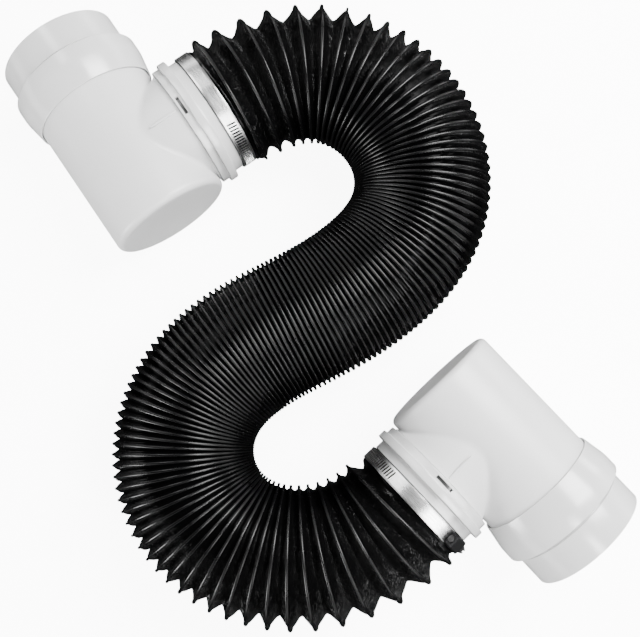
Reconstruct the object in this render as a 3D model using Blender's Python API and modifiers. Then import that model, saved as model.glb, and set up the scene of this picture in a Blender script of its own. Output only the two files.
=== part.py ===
"""Dryer vent hose: a pleated flexible duct with a close elbow at each end, lying flat on the floor.

Units are metres, +Z up, seen from above as in the photo: X to the right, Y up the picture. Each
elbow is made about its own centre, where its two ducts cross: the side port points along +X and
the open end along +Y. It is then turned and moved to its place at the end of the hose.
"""
import math

import bmesh
import bpy
import numpy as np
from mathutils import Matrix, Vector

for old in list(bpy.data.objects):
    bpy.data.objects.remove(old, do_unlink=True)

# The layout of the S, in units of LAYOUT. SHIFT centres the whole object on the origin.
LAYOUT = 0.1
SHIFT = (0.0607, -0.0775)
ELBOW_A = (-1.612, 1.362)            # where each elbow's centre lies
ELBOW_B = (1.396, -0.949)
TURN_A = 34.5                        # the way each elbow's side port points, in degrees
TURN_B = 223.3
ROUTE = [(-0.557, 2.044), (-0.235, 2.149), (0.101, 2.150), (0.415, 2.027), (0.669, 1.805), (0.837, 1.513),
         (0.892, 1.181), (0.826, 0.851), (0.648, 0.564), (0.402, 0.332), (0.123, 0.140), (-0.175, -0.021),
         (-0.475, -0.177), (-0.757, -0.365), (-0.989, -0.610), (-1.128, -0.917), (-1.143, -1.253),
         (-1.030, -1.570), (-0.804, -1.819), (-0.501, -1.966), (-0.166, -2.006), (0.167, -1.948),
         (0.471, -1.801)]
TILT_A = 28.0                        # how far each clamp's screw housing is turned down from level
TILT_B = -46.0

# The clearance between pieces that touch or turn, and the facets round them.
GAP = 0.0003
SIDES = 16                           # round the hose
ROUND = 40                           # round the elbows
EDGE_STEPS = 5                       # round the edge of an elbow's shut end
MERGE = 0.00001                      # points closer than this become one

# The elbow.
BODY_R = 0.0530
WALL = 0.0026
BLIND_LONG = 0.0595                  # from the elbow's centre to its shut end
BODY_LONG = 0.0850                   # from the elbow's centre to its open end
EDGE = 0.0050
BOSS_R = 0.0515
BOSS_LONG = 0.0548
SPIGOT_STEP = 0.0015                 # the spigot is this much slimmer than the boss
SPIGOT_LONG = 0.0092

# The collar on the elbow's open end.
SKIRT_OVERLAP = 0.0245               # how far the skirt reaches back over the body
SKIRT_WALL = 0.0018
CONE_LONG = 0.0204
FLARE_STEP = 0.0057                  # the flare is this much fatter than the body
FLARE_LONG = 0.0125
PIPE_LONG = 0.0293                   # the plain ring that takes the vent pipe
PIPE_STEP = 0.0002

# The collar that the hose is pushed onto.
TIER_STEP = 0.0036                   # the two tiers stand out this far past the boss
LIP_STEP = 0.0066
TIER_LONG = 0.0067
LIP_LONG = 0.0070
NECK_STEP = 0.0011
NECK_LONG = 0.0084
SLEEVE_R = 0.0506                    # the neck under the hose
SLEEVE_LONG = 0.0128
NECK_BORE_R = 0.0474
SLOT_LONG = 0.0165
SLOT_WIDE = 0.0026
SLOT_DEEP = 0.0028

# The hose.
CREST_R = 0.0595
VALLEY_R = 0.0500                    # of the pleats that are pulled wide
PACKED_SHARE = 0.83                  # a packed pleat is this share as deep
HOSE_WALL = 0.0028                   # from the valleys in to the bore
CUFF_WALL = 0.0013
CUFF_LONG = 0.0130
CUFF_RISE = 0.0010                   # the film's first step out of the cuff
FIRST_CREST = 0.0205                 # from the hose's own ends
LAST_CREST = 0.0245
PITCH_END = 0.0196                   # distance between crests near the clamps
PITCH_MIDDLE = 0.0038
OPEN_A = 0.134                       # how far from each end the wide pleats reach
OPEN_B = 0.142
OPEN_SHARP = 3.4                     # how suddenly the wide pleats give way to packed ones
CRESTS = 118
BORE_RINGS = 44
ROUTE_POINTS = 1200                  # on the finely drawn centreline
ROUTE_REACH = 20                     # points each way that its rounding takes in

# The worm-drive clamp.
BAND_INSET = 0.0004                  # the band lies this far in from the hose's end
BAND_WIDE = 0.0122
BAND_THICK = 0.0009
HOUSING_WIDE = 0.0128                # along the duct
HOUSING_TALL = 0.0080
HOUSING_LONG = 0.0140                # along the screw
HOUSING_EDGE = 0.0012
SCREW_R = 0.0028
SCREW_TIP = 0.0010
HEAD_R = 0.0038
HEAD_LONG = 0.0050
DRIVE_WIDE = 0.0012
DRIVE_DEEP = 0.0018

# Places that follow from those sizes.
AXIS_Z = CREST_R                     # every duct axis lies at the same height
SPIGOT_R = BOSS_R - SPIGOT_STEP
SPIGOT_END = BOSS_LONG + SPIGOT_LONG
SKIRT_END = BODY_LONG - SKIRT_OVERLAP
FLARE_END = SKIRT_END + CONE_LONG + FLARE_LONG
PIPE_END = FLARE_END + PIPE_LONG
RING_START = BOSS_LONG + GAP
TIER_END = RING_START + TIER_LONG
LIP_END = TIER_END + LIP_LONG
NECK_END = LIP_END + NECK_LONG
SLEEVE_END = NECK_END + SLEEVE_LONG
HOSE_START = NECK_END + GAP
CUFF_BORE_R = (SLEEVE_R + GAP) / math.cos(math.pi / SIDES)
CUFF_R = CUFF_BORE_R + CUFF_WALL
BORE_R = VALLEY_R - HOSE_WALL
BAND_START = HOSE_START + BAND_INSET
BAND_R = (CUFF_R + GAP / 2) / math.cos(math.pi / ROUND)

PARTS = bpy.data.collections.new("dryer_vent_hose")
CUTTERS = bpy.data.collections.new("cutters")
bpy.context.scene.collection.children.link(PARTS)
bpy.context.scene.collection.children.link(CUTTERS)
ALONG_X = Matrix.Rotation(math.radians(90.0), 4, "Y")
ALONG_Y = Matrix.Rotation(math.radians(-90.0), 4, "X")


def material(name, colour, roughness, metallic=0.0):
    mat = bpy.data.materials.new(name)
    mat.use_nodes = True
    shader = mat.node_tree.nodes["Principled BSDF"]
    shader.inputs["Base Color"].default_value = (*colour, 1.0)
    shader.inputs["Roughness"].default_value = roughness
    shader.inputs["Metallic"].default_value = metallic
    return mat


FOIL = material("duct_foil", (0.010, 0.010, 0.012), 0.28)
PLASTIC = material("white_plastic", (0.80, 0.80, 0.79), 0.35)
STEEL = material("clamp_steel", (0.62, 0.62, 0.60), 0.30, 1.0)
DARK_STEEL = material("housing_steel", (0.10, 0.10, 0.10), 0.40, 1.0)


def link(name, data, mat=None):
    """A new object: a part if it has a material, and otherwise a cutter."""
    obj = bpy.data.objects.new(name, data)
    if mat:
        PARTS.objects.link(obj)
        data.materials.append(mat)
    else:
        CUTTERS.objects.link(obj)
        obj.hide_render = True
        obj.display_type = "WIRE"
    return obj


def freeze(obj, turn=None):
    """Put an object's modifiers or curve into a plain mesh, turned if asked, and return the object."""
    graph = bpy.context.evaluated_depsgraph_get()
    mesh = bpy.data.meshes.new_from_object(obj.evaluated_get(graph))
    if turn:
        mesh.transform(turn)
    bm = bmesh.new()
    bm.from_mesh(mesh)
    bmesh.ops.remove_doubles(bm, verts=bm.verts, dist=MERGE)
    bm.to_mesh(mesh)
    bm.free()
    if obj.type == "MESH":
        obj.modifiers.clear()
        obj.data = mesh
        return obj
    solid = bpy.data.objects.new(obj.name, mesh)
    for collection in obj.users_collection:
        collection.objects.link(solid)
    solid.hide_render = obj.hide_render
    solid.display_type = obj.display_type
    name = obj.name
    bpy.data.objects.remove(obj, do_unlink=True)
    solid.name = name
    return solid


def turned(name, profile, turn, mat=None, ring=False, steps=ROUND):
    """Turn a profile of (distance along the axis, radius) points, which starts at the far end.

    A ring's profile closes on itself; any other starts and ends on the axis.
    """
    if not ring:
        profile = [(profile[0][0], 0.0)] + profile + [(profile[-1][0], 0.0)]
    count = len(profile)
    edges = [(i, (i + 1) % count) for i in range(count if ring else count - 1)]
    mesh = bpy.data.meshes.new(name)
    mesh.from_pydata([(radius, 0.0, along) for along, radius in profile], edges, [])
    obj = link(name, mesh, mat)
    screw = obj.modifiers.new("turn", "SCREW")
    screw.steps = steps
    screw.render_steps = steps
    screw.use_merge_vertices = True
    screw.merge_threshold = MERGE
    screw.use_smooth_shade = False
    return freeze(obj, turn)


def block(name, centre, size, turn=None, mat=None):
    bm = bmesh.new()
    bmesh.ops.create_cube(bm, size=1.0)
    bmesh.ops.scale(bm, vec=size, verts=bm.verts)
    mesh = bpy.data.meshes.new(name)
    bm.to_mesh(mesh)
    bm.free()
    mesh.transform(Matrix.Translation(centre) @ (turn or Matrix.Identity(4)))
    return link(name, mesh, mat)


def combine(target, others, operation):
    """Exact Booleans one after another, kept in the target's mesh; the other shapes go."""
    for other in others:
        cut = target.modifiers.new("combine", "BOOLEAN")
        cut.operation = operation
        cut.solver = "EXACT"
        cut.object = other
        graph = bpy.context.evaluated_depsgraph_get()
        mesh = bpy.data.meshes.new_from_object(target.evaluated_get(graph))
        target.modifiers.clear()
        target.data = mesh
        bpy.data.objects.remove(other, do_unlink=True)
    return target


def smooth(obj, angle=30.0):
    """Shade smooth, with edges sharper than the angle left sharp."""
    bm = bmesh.new()
    bm.from_mesh(obj.data)
    for face in bm.faces:
        face.smooth = True
    for edge in bm.edges:
        edge.smooth = len(edge.link_faces) == 2 and edge.calc_face_angle(0.0) < math.radians(angle)
    bm.to_mesh(obj.data)
    bm.free()


def rounded_end(end, radius, edge):
    """Profile points round the edge of a shut end that faces back along the axis."""
    angles = np.radians(np.linspace(0.0, 90.0, EDGE_STEPS))
    return [(end + edge * (1.0 - math.sin(a)), radius - edge * (1.0 - math.cos(a))) for a in angles]


def elbow_body(name):
    """A cylinder with one shut end, a boss on its side and a spigot that the swivel ring runs on."""
    body = turned(name, [(BODY_LONG, BODY_R)] + rounded_end(-BLIND_LONG, BODY_R, EDGE), ALONG_Y,
                  PLASTIC)
    boss = turned("boss", [(SPIGOT_END, SPIGOT_R), (BOSS_LONG, SPIGOT_R), (BOSS_LONG, BOSS_R), (0.0, BOSS_R)],
                  ALONG_X)
    inner = BODY_R - WALL
    hollow = turned("hollow", [(BODY_LONG + WALL, inner)]
                    + rounded_end(-BLIND_LONG + WALL, inner, EDGE - WALL), ALONG_Y)
    path = turned("path", [(SPIGOT_END + WALL, SPIGOT_R - WALL), (0.0, SPIGOT_R - WALL)], ALONG_X)
    combine(body, [boss], "UNION")
    return combine(body, [hollow, path], "DIFFERENCE")


def wall_collar(name):
    """Skirt over the body, cone out to the flare, step in to the plain pipe ring."""
    bore = BODY_R + GAP
    skirt = bore + SKIRT_WALL
    flare = BODY_R + FLARE_STEP
    pipe = BODY_R + PIPE_STEP
    chamfer = WALL / 4
    profile = [(PIPE_END, pipe - WALL), (PIPE_END, pipe - chamfer), (PIPE_END - chamfer, pipe),
               (FLARE_END + chamfer, pipe), (FLARE_END, pipe + chamfer), (FLARE_END, flare - chamfer),
               (FLARE_END - chamfer, flare), (FLARE_END - FLARE_LONG + chamfer, flare),
               (FLARE_END - FLARE_LONG, flare - chamfer), (SKIRT_END, skirt),
               (SKIRT_END, bore + SKIRT_WALL / 3), (SKIRT_END + SKIRT_WALL, bore),
               (BODY_LONG + GAP, bore), (BODY_LONG + GAP, pipe - WALL)]
    return turned(name, profile, ALONG_Y, PLASTIC, ring=True)


def hose_collar(name):
    """Swivel ring with lock slots, a lip, and the neck that the hose goes over."""
    bore = SPIGOT_R + GAP
    tier = BOSS_R + TIER_STEP
    lip = BOSS_R + LIP_STEP
    neck = BOSS_R + NECK_STEP
    chamfer = WALL / 4
    profile = [(SLEEVE_END, NECK_BORE_R), (SLEEVE_END, SLEEVE_R - chamfer), (SLEEVE_END - chamfer, SLEEVE_R),
               (NECK_END, SLEEVE_R), (NECK_END, neck), (LIP_END + chamfer, neck), (LIP_END, neck + chamfer),
               (LIP_END, lip - chamfer), (LIP_END - chamfer, lip), (TIER_END + chamfer, lip),
               (TIER_END, lip - chamfer), (TIER_END, tier), (RING_START + chamfer, tier),
               (RING_START, tier - chamfer), (RING_START, bore), (SPIGOT_END + GAP, bore),
               (SPIGOT_END + GAP, NECK_BORE_R)]
    ring = turned(name, profile, ALONG_X, PLASTIC, ring=True)
    middle = (RING_START + TIER_END) / 2
    slots = [block("slot", (middle, 0.0, side * tier), (SLOT_WIDE, SLOT_LONG, 2 * SLOT_DEEP))
             for side in (-1, 1)]
    return combine(ring, slots, "DIFFERENCE")


def clamp_band(name):
    outer = BAND_R + BAND_THICK
    end = BAND_START + BAND_WIDE
    profile = [(end, BAND_R), (end, outer), (BAND_START, outer), (BAND_START, BAND_R)]
    return turned(name, profile, ALONG_X, STEEL, ring=True)


def housing_place(tilt):
    """The screw housing's middle and turn: its X runs along the duct, Y outward and Z along the screw."""
    turn = Matrix.Rotation(-math.radians(tilt), 4, "X")
    middle = Matrix.Translation((BAND_START + BAND_WIDE / 2, 0.0, 0.0))
    return middle @ turn @ Matrix.Translation((0.0, BAND_R + BAND_THICK + GAP + HOUSING_TALL / 2, 0.0))


def clamp_housing(name, tilt):
    shell = block(name, (0.0, 0.0, 0.0), (HOUSING_WIDE, HOUSING_TALL, HOUSING_LONG), mat=DARK_STEEL)
    bevel = shell.modifiers.new("edges", "BEVEL")
    bevel.width = HOUSING_EDGE
    bevel.segments = 1
    freeze(shell)
    tunnel = turned("tunnel", [(HOUSING_LONG, SCREW_R + GAP), (-HOUSING_LONG, SCREW_R + GAP)],
                    Matrix.Identity(4), steps=SIDES)
    combine(shell, [tunnel], "DIFFERENCE")
    shell.data.transform(housing_place(tilt))
    return shell


def clamp_screw(name):
    """Worm screw with a slotted hexagon head, made about its own middle with its head at the lower end."""
    half = HOUSING_LONG / 2
    top = half + GAP + HEAD_LONG
    shank = turned(name, [(half + HEAD_LONG / 2, SCREW_R), (-half - SCREW_TIP, SCREW_R)],
                   Matrix.Identity(4), STEEL, steps=SIDES)
    head = turned("head", [(top, HEAD_R), (half + GAP, HEAD_R)], Matrix.Identity(4), steps=6)
    combine(shank, [head], "UNION")
    slot = block("drive", (0.0, 0.0, top), (DRIVE_WIDE, 3 * HEAD_R, 2 * DRIVE_DEEP))
    combine(shank, [slot], "DIFFERENCE")
    shank.data.transform(Matrix.Rotation(math.pi, 4, "Y"))
    return shank


def spline(knots, per_span=40):
    """Centripetal Catmull-Rom curve through the knots."""
    padded = np.vstack([2 * knots[0] - knots[1], knots, 2 * knots[-1] - knots[-2]])
    fine = []
    for i in range(1, len(padded) - 2):
        p0, p1, p2, p3 = padded[i - 1:i + 3]
        t1 = np.linalg.norm(p1 - p0) ** 0.5
        t2 = t1 + np.linalg.norm(p2 - p1) ** 0.5
        t3 = t2 + np.linalg.norm(p3 - p2) ** 0.5
        t = np.linspace(t1, t2, per_span, endpoint=False)[:, None]
        a1 = (t1 - t) / t1 * p0 + t / t1 * p1
        a2 = (t2 - t) / (t2 - t1) * p1 + (t - t1) / (t2 - t1) * p2
        a3 = (t3 - t) / (t3 - t2) * p2 + (t - t2) / (t3 - t2) * p3
        b1 = (t2 - t) / t2 * a1 + t / t2 * a2
        b2 = (t3 - t) / (t3 - t1) * a2 + (t - t1) / (t3 - t1) * a3
        fine.append((t2 - t) / (t2 - t1) * b1 + (t - t1) / (t2 - t1) * b2)
    return np.vstack(fine + [knots[-1:]])


def resample(line, count):
    """The same line with evenly spaced points, and how far along each of them is."""
    step = np.r_[0.0, np.cumsum(np.linalg.norm(np.diff(line, axis=0), axis=1))]
    grid = np.linspace(0.0, step[-1], count)
    return grid, np.c_[np.interp(grid, step, line[:, 0]), np.interp(grid, step, line[:, 1])]


def rounded_off(line, reach):
    """The line averaged over a few points each way, with its ends kept in place."""
    kernel = np.hanning(2 * reach + 1)
    padded = np.vstack([2 * line[0] - line[reach:0:-1], line, 2 * line[-1] - line[-2:-reach - 2:-1]])
    return np.c_[np.convolve(padded[:, 0], kernel / kernel.sum(), "valid"),
                 np.convolve(padded[:, 1], kernel / kernel.sum(), "valid")]


def centreline():
    """The hose's middle: straight over each sleeve, then blending into the curve through ROUTE."""
    ways = [np.array((math.cos(turn), math.sin(turn))) for turn in np.radians((TURN_A, TURN_B))]
    start, end = [np.array(elbow) * LAYOUT + way * HOSE_START
                  for elbow, way in zip((ELBOW_A, ELBOW_B), ways)]
    knots = np.vstack([start, start + ways[0] * CUFF_LONG, np.array(ROUTE) * LAYOUT,
                       end + ways[1] * CUFF_LONG, end])
    grid, line = resample(spline(knots), ROUTE_POINTS)
    line = rounded_off(line, ROUTE_REACH)
    for corner, way, along in ((start, ways[0], grid), (end, ways[1], grid[-1] - grid)):
        free = np.clip((along - CUFF_LONG) / CUFF_LONG, 0.0, 1.0)
        free = (free * free * (3.0 - 2.0 * free))[:, None]
        line = line * free + (corner + along[:, None] * way) * (1.0 - free)
    grid, line = resample(line, ROUTE_POINTS)
    return grid, line + np.array(SHIFT) * LAYOUT


def crest_places(total):
    """Where the crests lie along the hose: wide apart at both ends, packed in the middle."""
    grid = np.linspace(FIRST_CREST, total - LAST_CREST, ROUTE_POINTS)
    wide = (1.0 / (1.0 + (grid / OPEN_A) ** OPEN_SHARP)
            + 1.0 / (1.0 + ((total - grid) / OPEN_B) ** OPEN_SHARP))
    density = 1.0 / (PITCH_MIDDLE + (PITCH_END - PITCH_MIDDLE) * wide)
    count = np.r_[0.0, np.cumsum((density[1:] + density[:-1]) / 2 * np.diff(grid))]
    return np.interp(np.linspace(0.0, count[-1], CRESTS), count, grid)


def tube(name, stations, grid, line, mat=None):
    """A curve with a radius at each (distance along the line, radius) station, made a mesh."""
    curve = bpy.data.curves.new(name, "CURVE")
    curve.dimensions = "3D"
    curve.twist_mode = "Z_UP"
    curve.bevel_depth = 1.0
    curve.bevel_resolution = (SIDES - 4) // 2
    curve.use_fill_caps = True
    path = curve.splines.new("POLY")
    path.points.add(len(stations) - 1)
    slope = (line[0] - line[1]) / grid[1], (line[-1] - line[-2]) / grid[1]
    for point, (along, radius) in zip(path.points, stations):
        x, y = (np.interp(along, grid, line[:, k]) for k in (0, 1))
        before, after = min(along, 0.0), max(along - grid[-1], 0.0)
        x, y = (x, y) - slope[0] * before + slope[1] * after
        point.co = (x, y, AXIS_Z, 1.0)
        point.radius = radius
    return freeze(link(name, curve, mat))


def hose(name):
    """Pleats outside and a plain bore inside, both swept along the centreline."""
    grid, line = centreline()
    total = grid[-1]
    crests = crest_places(total)
    packed = np.clip(2.0 - np.diff(crests) / PITCH_MIDDLE, 0.0, 1.0)
    valleys = CREST_R - (CREST_R - VALLEY_R) * (1.0 - (1.0 - PACKED_SHARE) * packed)
    rise = CUFF_LONG + CUFF_RISE
    outside = [(0.0, CUFF_R), (CUFF_LONG, CUFF_R), (rise, CUFF_R + CUFF_RISE)]
    for here, there, valley in zip(crests, crests[1:], valleys):
        outside += [(here, CREST_R), ((here + there) / 2, valley)]
    outside += [(crests[-1], CREST_R), (total - rise, CUFF_R + CUFF_RISE), (total - CUFF_LONG, CUFF_R),
                (total, CUFF_R)]
    sleeve = SLEEVE_END - HOSE_START + GAP
    step = sleeve + GAP / 2
    inside = [(-WALL, CUFF_BORE_R), (sleeve, CUFF_BORE_R), (step, BORE_R), (step + CUFF_RISE, BORE_R)]
    inside += [(s, BORE_R) for s in np.linspace(step, total - step, BORE_RINGS + 2)[1:-1]]
    inside += [(total - step - CUFF_RISE, BORE_R), (total - step, BORE_R), (total - sleeve, CUFF_BORE_R),
               (total + WALL, CUFF_BORE_R)]
    duct = tube(name, outside, grid, line, FOIL)
    return combine(duct, [tube("bore", inside, grid, line)], "DIFFERENCE")


def pivot(name, elbow, turn):
    """An empty on the elbow's swivel axis, with X along the side port."""
    empty = bpy.data.objects.new(name, None)
    PARTS.objects.link(empty)
    empty.location = ((elbow[0] + SHIFT[0]) * LAYOUT, (elbow[1] + SHIFT[1]) * LAYOUT, AXIS_Z)
    empty.rotation_euler = (0.0, 0.0, math.radians(turn))
    return empty


smooth(hose("duct_hose"), 60.0)
for tag, elbow, turn, tilt in (("a", ELBOW_A, TURN_A, TILT_A), ("b", ELBOW_B, TURN_B, TILT_B)):
    base = pivot("elbow_%s_pivot" % tag, elbow, turn)
    screw = clamp_screw("clamp_screw_" + tag)
    screw.matrix_local = housing_place(tilt)
    for piece in (elbow_body("elbow_" + tag), wall_collar("wall_collar_" + tag),
                  hose_collar("hose_collar_" + tag), clamp_band("clamp_band_" + tag),
                  clamp_housing("clamp_housing_" + tag, tilt), screw):
        piece.parent = base
        smooth(piece)
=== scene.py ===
"""Dryer vent hose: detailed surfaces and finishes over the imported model, and the photo's stage.

Lengths are metres. Each elbow is worked out about its own centre, where its two ducts cross: its side
port points along +X, its open end along +Y and up is +Z. It is then turned and moved to its place.
"""
import math

import bmesh
import bpy
import numpy as np
from bpy.props import FloatProperty, FloatVectorProperty, IntProperty, PointerProperty
from mathutils import Matrix, Vector


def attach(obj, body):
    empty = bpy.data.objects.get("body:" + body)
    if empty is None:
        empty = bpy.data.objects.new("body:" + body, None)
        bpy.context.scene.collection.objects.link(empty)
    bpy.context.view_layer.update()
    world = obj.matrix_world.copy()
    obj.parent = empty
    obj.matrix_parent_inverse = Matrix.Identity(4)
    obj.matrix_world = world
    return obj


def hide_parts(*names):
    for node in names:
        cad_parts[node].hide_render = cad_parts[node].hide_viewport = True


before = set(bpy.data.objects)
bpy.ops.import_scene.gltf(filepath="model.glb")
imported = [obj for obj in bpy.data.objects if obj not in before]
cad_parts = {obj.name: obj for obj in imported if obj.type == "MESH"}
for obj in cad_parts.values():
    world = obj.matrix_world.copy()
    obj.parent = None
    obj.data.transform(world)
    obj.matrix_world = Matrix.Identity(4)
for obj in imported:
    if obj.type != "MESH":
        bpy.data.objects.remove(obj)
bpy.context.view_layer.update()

bl_info = {
    "name": "Dryer vent hose",
    "version": (1, 0, 0),
    "blender": (4, 5, 0),
    "location": "3D View > Sidebar > Vent hose",
    "description": "Pleated vent hose with a clamped, swivelling close elbow at each end",
    "category": "Object",
}

# The layout, as in the part's source.
SHIFT = (0.00607, -0.00775)
ELBOWS = {"a": (-0.1612, 0.1362, 34.5), "b": (0.1396, -0.0949, 223.3)}
ROUTE = [(-0.0557, 0.2044), (-0.0235, 0.2149), (0.0101, 0.2150), (0.0415, 0.2027), (0.0669, 0.1805),
         (0.0837, 0.1513), (0.0892, 0.1181), (0.0826, 0.0851), (0.0648, 0.0564), (0.0402, 0.0332),
         (0.0123, 0.0140), (-0.0175, -0.0021), (-0.0475, -0.0177), (-0.0757, -0.0365),
         (-0.0989, -0.0610), (-0.1128, -0.0917), (-0.1143, -0.1253), (-0.1030, -0.1570),
         (-0.0804, -0.1819), (-0.0501, -0.1966), (-0.0166, -0.2006), (0.0167, -0.1948),
         (0.0471, -0.1801)]
AXIS_Z = 0.0595

# Sizes shared with the part's source.
GAP = 0.0003
BODY_R = 0.0530
WALL = 0.0026
BLIND_LONG = 0.0595
BODY_LONG = 0.0850
EDGE = 0.0050
BOSS_R = 0.0515
BOSS_LONG = 0.0548
SPIGOT_R = 0.0500
SPIGOT_END = 0.0640
SKIRT_END = 0.0605
SKIRT_R = 0.0551
FLARE_START = 0.0809
FLARE_END = 0.0934
FLARE_R = 0.0587
PIPE_END = 0.1227
PIPE_R = 0.0532
RING_START = 0.0551
TIER_R = 0.0551
TIER_END = 0.0618
LIP_R = 0.0581
LIP_END = 0.0688
NECK_R = 0.0526
NECK_END = 0.0772
SLEEVE_R = 0.0506
SLEEVE_END = 0.0900
NECK_BORE_R = 0.0474
HOSE_START = 0.0775
CUFF_R = 0.0532
CUFF_LONG = 0.0130
FIRST_CREST = 0.0205
LAST_CREST = 0.0245
PITCH_END = 0.0196
PITCH_MIDDLE = 0.0038
OPEN_A = 0.134
OPEN_B = 0.142
OPEN_SHARP = 3.4
CRESTS = 118
ROUTE_POINTS = 1200
ROUTE_REACH = 20
BAND_START = 0.0779
BAND_WIDE = 0.0122
BAND_R = 0.0535

# Sizes of the dressed pieces alone. The saddle takes at most a share of the way to the border of its wall
# and of the port's height. The slots' angles are degrees about the side port's axis.
WELD = 0.000004
UV_PER_RADIAN = 0.055
RIM_LONG = 0.0012
CROWN_HIGH = 0.0006
LIP_LONG = 0.0020
SADDLE_REACH_MOST = 0.6
SADDLE_RISE_MOST = 0.75
SADDLE_CLEAR = 0.0009
RIB_START = 0.0265
RIB_END = 0.0536
RIB_SUNK = 0.0001
STEP_SOFT = 0.00008
TIER_WITHIN = 0.0001
BAND_WITHIN = 0.00002
LOCK_HALF_WIDE = 0.0013
LOCK_HALF_LONG = 0.00825
LOCK_DEEP = 0.0028
# Share of painted shade, with some dirt, in the pipe collar's groove at the step to the flare.
GROOVE_SHADE_AND_DIRT = 0.4
BAND_CURL = 0.00035
SLOTS_START = {"a": 125.0, "b": 124.0}
SLOTS_END = 322.0

# The film between its crests. END_PLEAT is the share of a pleat before the first crest. ROOM_SHARES keep
# the room at a bend between two shares of the spacing, and OUTER_SHARE is how much more room than the
# spacing makes a place fully the outside of a bend. The powers shape the depth, an open pleat's fall and
# the dents' strength. The film is slack from SLACK_START of room on, and SLACK_INNER is the share of its
# slack away from the outside of a bend. A layer of dents is the length of its cells along the hose, where
# they start, how many go round the hose, the seed of its heights, and its share.
FILM_UV_PER_RADIAN = 0.056
END_PLEAT = 0.4
SWELL_LONG = 0.0050
ROOM_SHARES = (0.2, 2.0)
OUTER_SHARE = 0.35
DEPTH_POWER = 1.5
HOLLOW_POWER = 1.4
FLANK_POWER = 0.7
SLACK_START = 0.0070
SLACK_RANGE = 0.0060
SLACK_INNER = 0.45
DENTS = ((0.011, 0.0, 40, 3, 1.0), (0.0052, 7.3, 84, 5, 0.6))
SHOVES = ((0.009, 3.1, 46, 9, 1.0),)
SHOVE_SHARE = 1.3

# The spring wire: the crest numbers at which it begins and ends, its points a turn, how far it keeps
# from the cuffs, how fast it thickens there and from what share, its most half width as a share of the
# room, and its sides. The cord's path takes one route point in PATH_STEP.
WIRE_START = -0.62
WIRE_END = CRESTS - 0.35
WIRE_STEPS = 60
WIRE_CLEAR = 0.0010
WIRE_GROWTH = 1.6
WIRE_THINNEST = 0.05
WIRE_SQUEEZE = 0.47
WIRE_SIDES = 6

# The stage: the way from the hose to the camera, the pale band low round the room as the height of its
# middle, its half height and where it has faded out, and each soft box as place, width, height, the
# size that sets its power, and its share of that power.
TO_CAMERA = (-0.002, -0.0998, 0.995)
ROOM_BAND = (0.05, 0.02, 0.24)
SOFT_BOXES = {
    "key": ((0.75, 0.50, 1.30), 0.9, 0.9, "key_power", 1.0),
    "side_right": ((1.35, 0.95, 0.22), 0.4, 0.4, "fill_power", 0.4),
    "side_left": ((-1.30, -0.95, 0.30), 0.6, 0.6, "fill_power", 3.0),
    "strip_far": ((-0.77, 0.95, 1.15), 0.3, 1.2, "strip_power", 0.4),
    "strip_near": ((0.73, -0.90, 1.15), 0.3, 1.2, "strip_power", 1.0),
}


class HoseSizes(bpy.types.PropertyGroup):
    """Sizes and colours of the pleated film and its spring wire."""
    crest_radius: FloatProperty(name="Crest radius", default=0.0595, unit="LENGTH",
                                description="From the hose's axis to the outside of the wire")
    open_depth: FloatProperty(name="Open pleat depth", default=0.0115, unit="LENGTH",
                              description="Depth of a pleat where the hose is pulled out")
    least_depth: FloatProperty(name="Least pleat depth", default=0.0010, unit="LENGTH",
                               description="Depth that a pleat keeps where its crests touch")
    deep_room: FloatProperty(name="Deep room", default=0.0185, unit="LENGTH",
                             description="Room between crests at which a pleat reaches its open depth")
    open_room: FloatProperty(name="Open room", default=0.0145, unit="LENGTH",
                             description="Room between crests above which the film hangs hollow")
    fold_range: FloatProperty(name="Fold range", default=0.0045, unit="LENGTH",
                              description="How much less room turns hollow pleats into round folds")
    wire_radius: FloatProperty(name="Wire radius", default=0.00135, unit="LENGTH",
                               description="Radius of the spring wire with the film round it")
    crumple: FloatProperty(name="Crumple", default=0.0011, unit="LENGTH",
                           description="How far the pulled out film is dented between two crests")
    columns: IntProperty(name="Columns", default=100, description="Points round the film")
    rows: IntProperty(name="Rows a pleat", default=8, description="Rows of points from crest to crest")
    film_colour: FloatVectorProperty(name="Film colour", default=(0.0014, 0.0014, 0.0015), subtype="COLOR",
                                     description="Colour of the black plastic film")


class FittingSizes(bpy.types.PropertyGroup):
    """Sizes and colour of the moulded elbows and collars."""
    saddle: FloatProperty(name="Saddle", default=0.0038, unit="LENGTH",
                          description="Reach of the soft valley where the side port meets the elbow")
    port_foot: FloatProperty(name="Port foot radius", default=0.0490, unit="LENGTH",
                             description="Radius of the side port where it meets the elbow")
    fillet: FloatProperty(name="Fillet", default=0.0009, unit="LENGTH",
                          description="Usual rounding of a moulded edge")
    rib_high: FloatProperty(name="Rib height", default=0.0013, unit="LENGTH",
                            description="Height of the fine rib on the port")
    segments: IntProperty(name="Segments", default=192, description="Points round each collar")
    colour: FloatVectorProperty(name="Plastic colour", default=(0.74, 0.74, 0.74), subtype="COLOR",
                                description="Colour of the white moulded plastic")


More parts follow.
